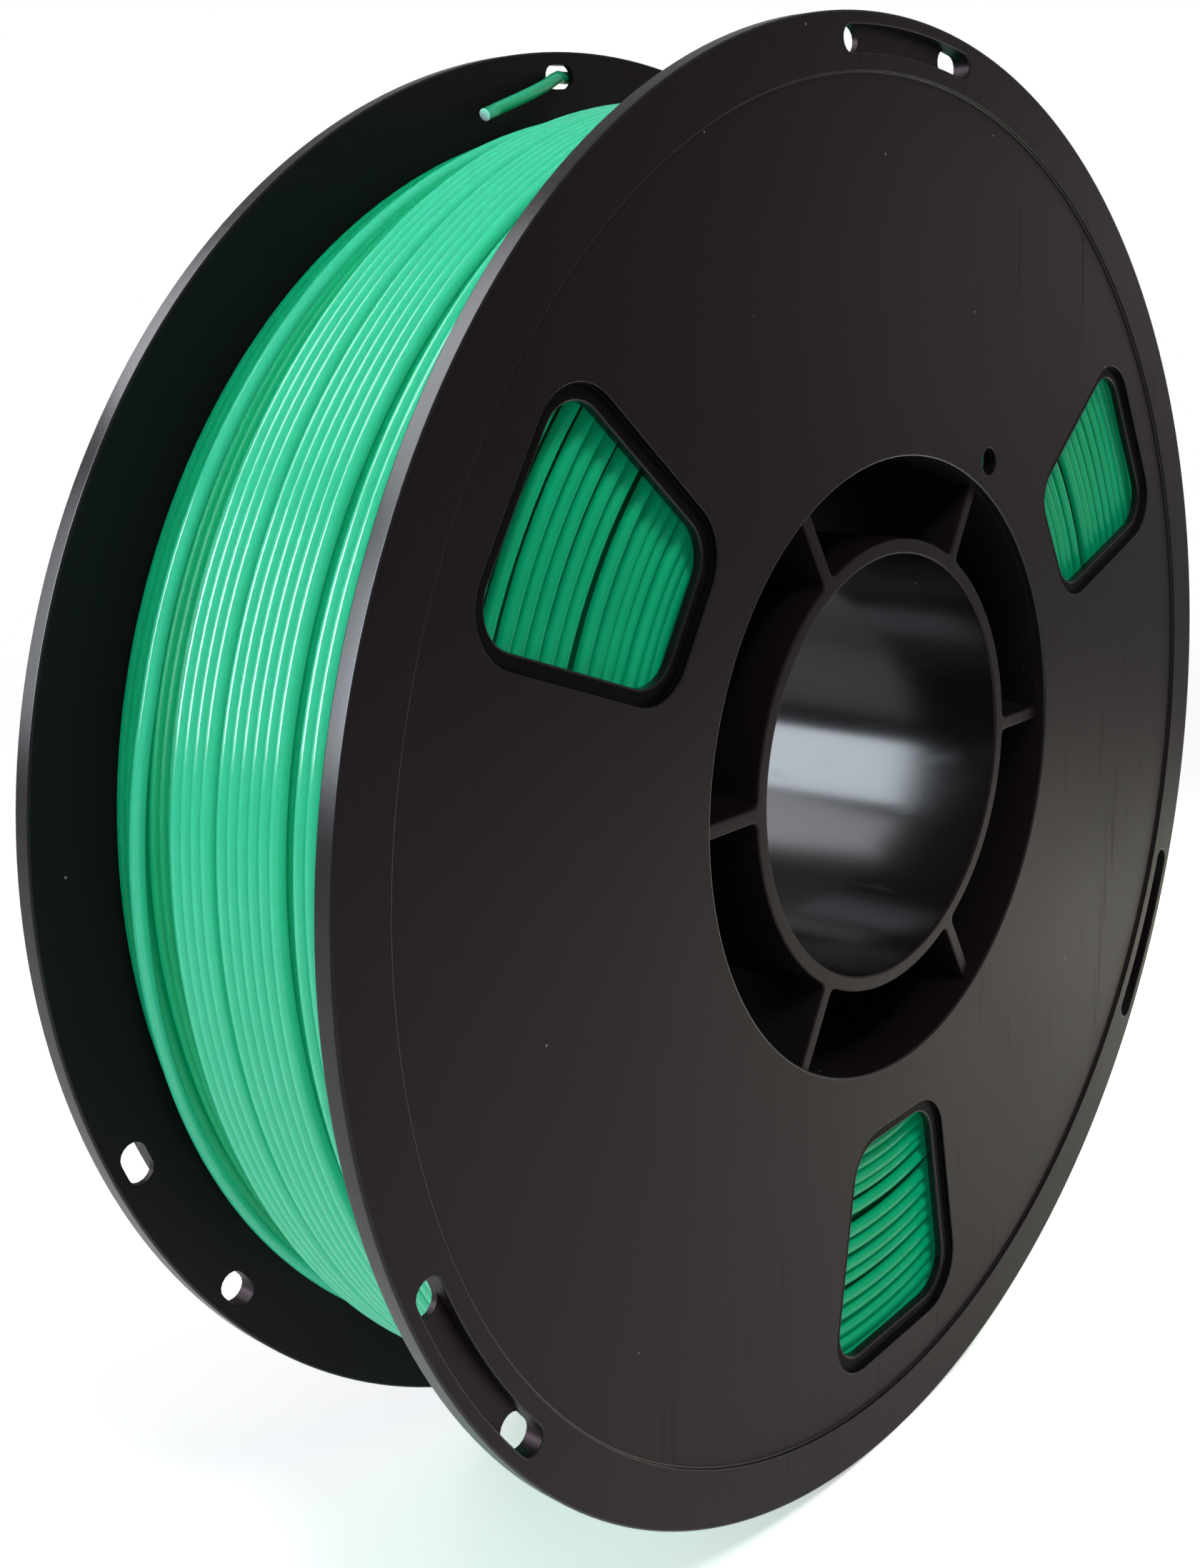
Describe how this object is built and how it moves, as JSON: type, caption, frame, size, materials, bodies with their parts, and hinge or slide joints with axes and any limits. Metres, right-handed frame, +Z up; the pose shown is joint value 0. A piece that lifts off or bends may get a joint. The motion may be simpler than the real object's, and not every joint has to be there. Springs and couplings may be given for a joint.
{
  "type": "filament spool",
  "caption": "Black plastic reel with two windowed flanges and a ribbed hub, wound full of translucent green filament whose end is tucked through a slot in the rim.",
  "frame": {"origin": "centre of the bore, midway between the two flanges", "axes": "+Y along the spool's axis from the front flange to the back flange, +Z up with the spool standing on its rims and the parked filament end at the top of the back flange, +X to the right seen from the front"},
  "size_m": [0.2, 0.053, 0.2],
  "materials": {
    "flange": "satin",
    "hub": "satin",
    "filament_inner": "glossy",
    "filament": "glossy, slightly translucent"
  },
  "bodies": {
    "root": {"front_flange": "flange", "back_flange": "flange", "hub_drum": "hub", "bore_tube": "hub", "hub_rib_1": "hub", "hub_rib_2": "hub", "hub_rib_3": "hub", "hub_rib_4": "hub", "hub_rib_5": "hub", "hub_rib_6": "hub", "filament_core": "filament_inner", "filament_layer": "filament", "filament_end": "filament"}
  },
  "joints": []
}
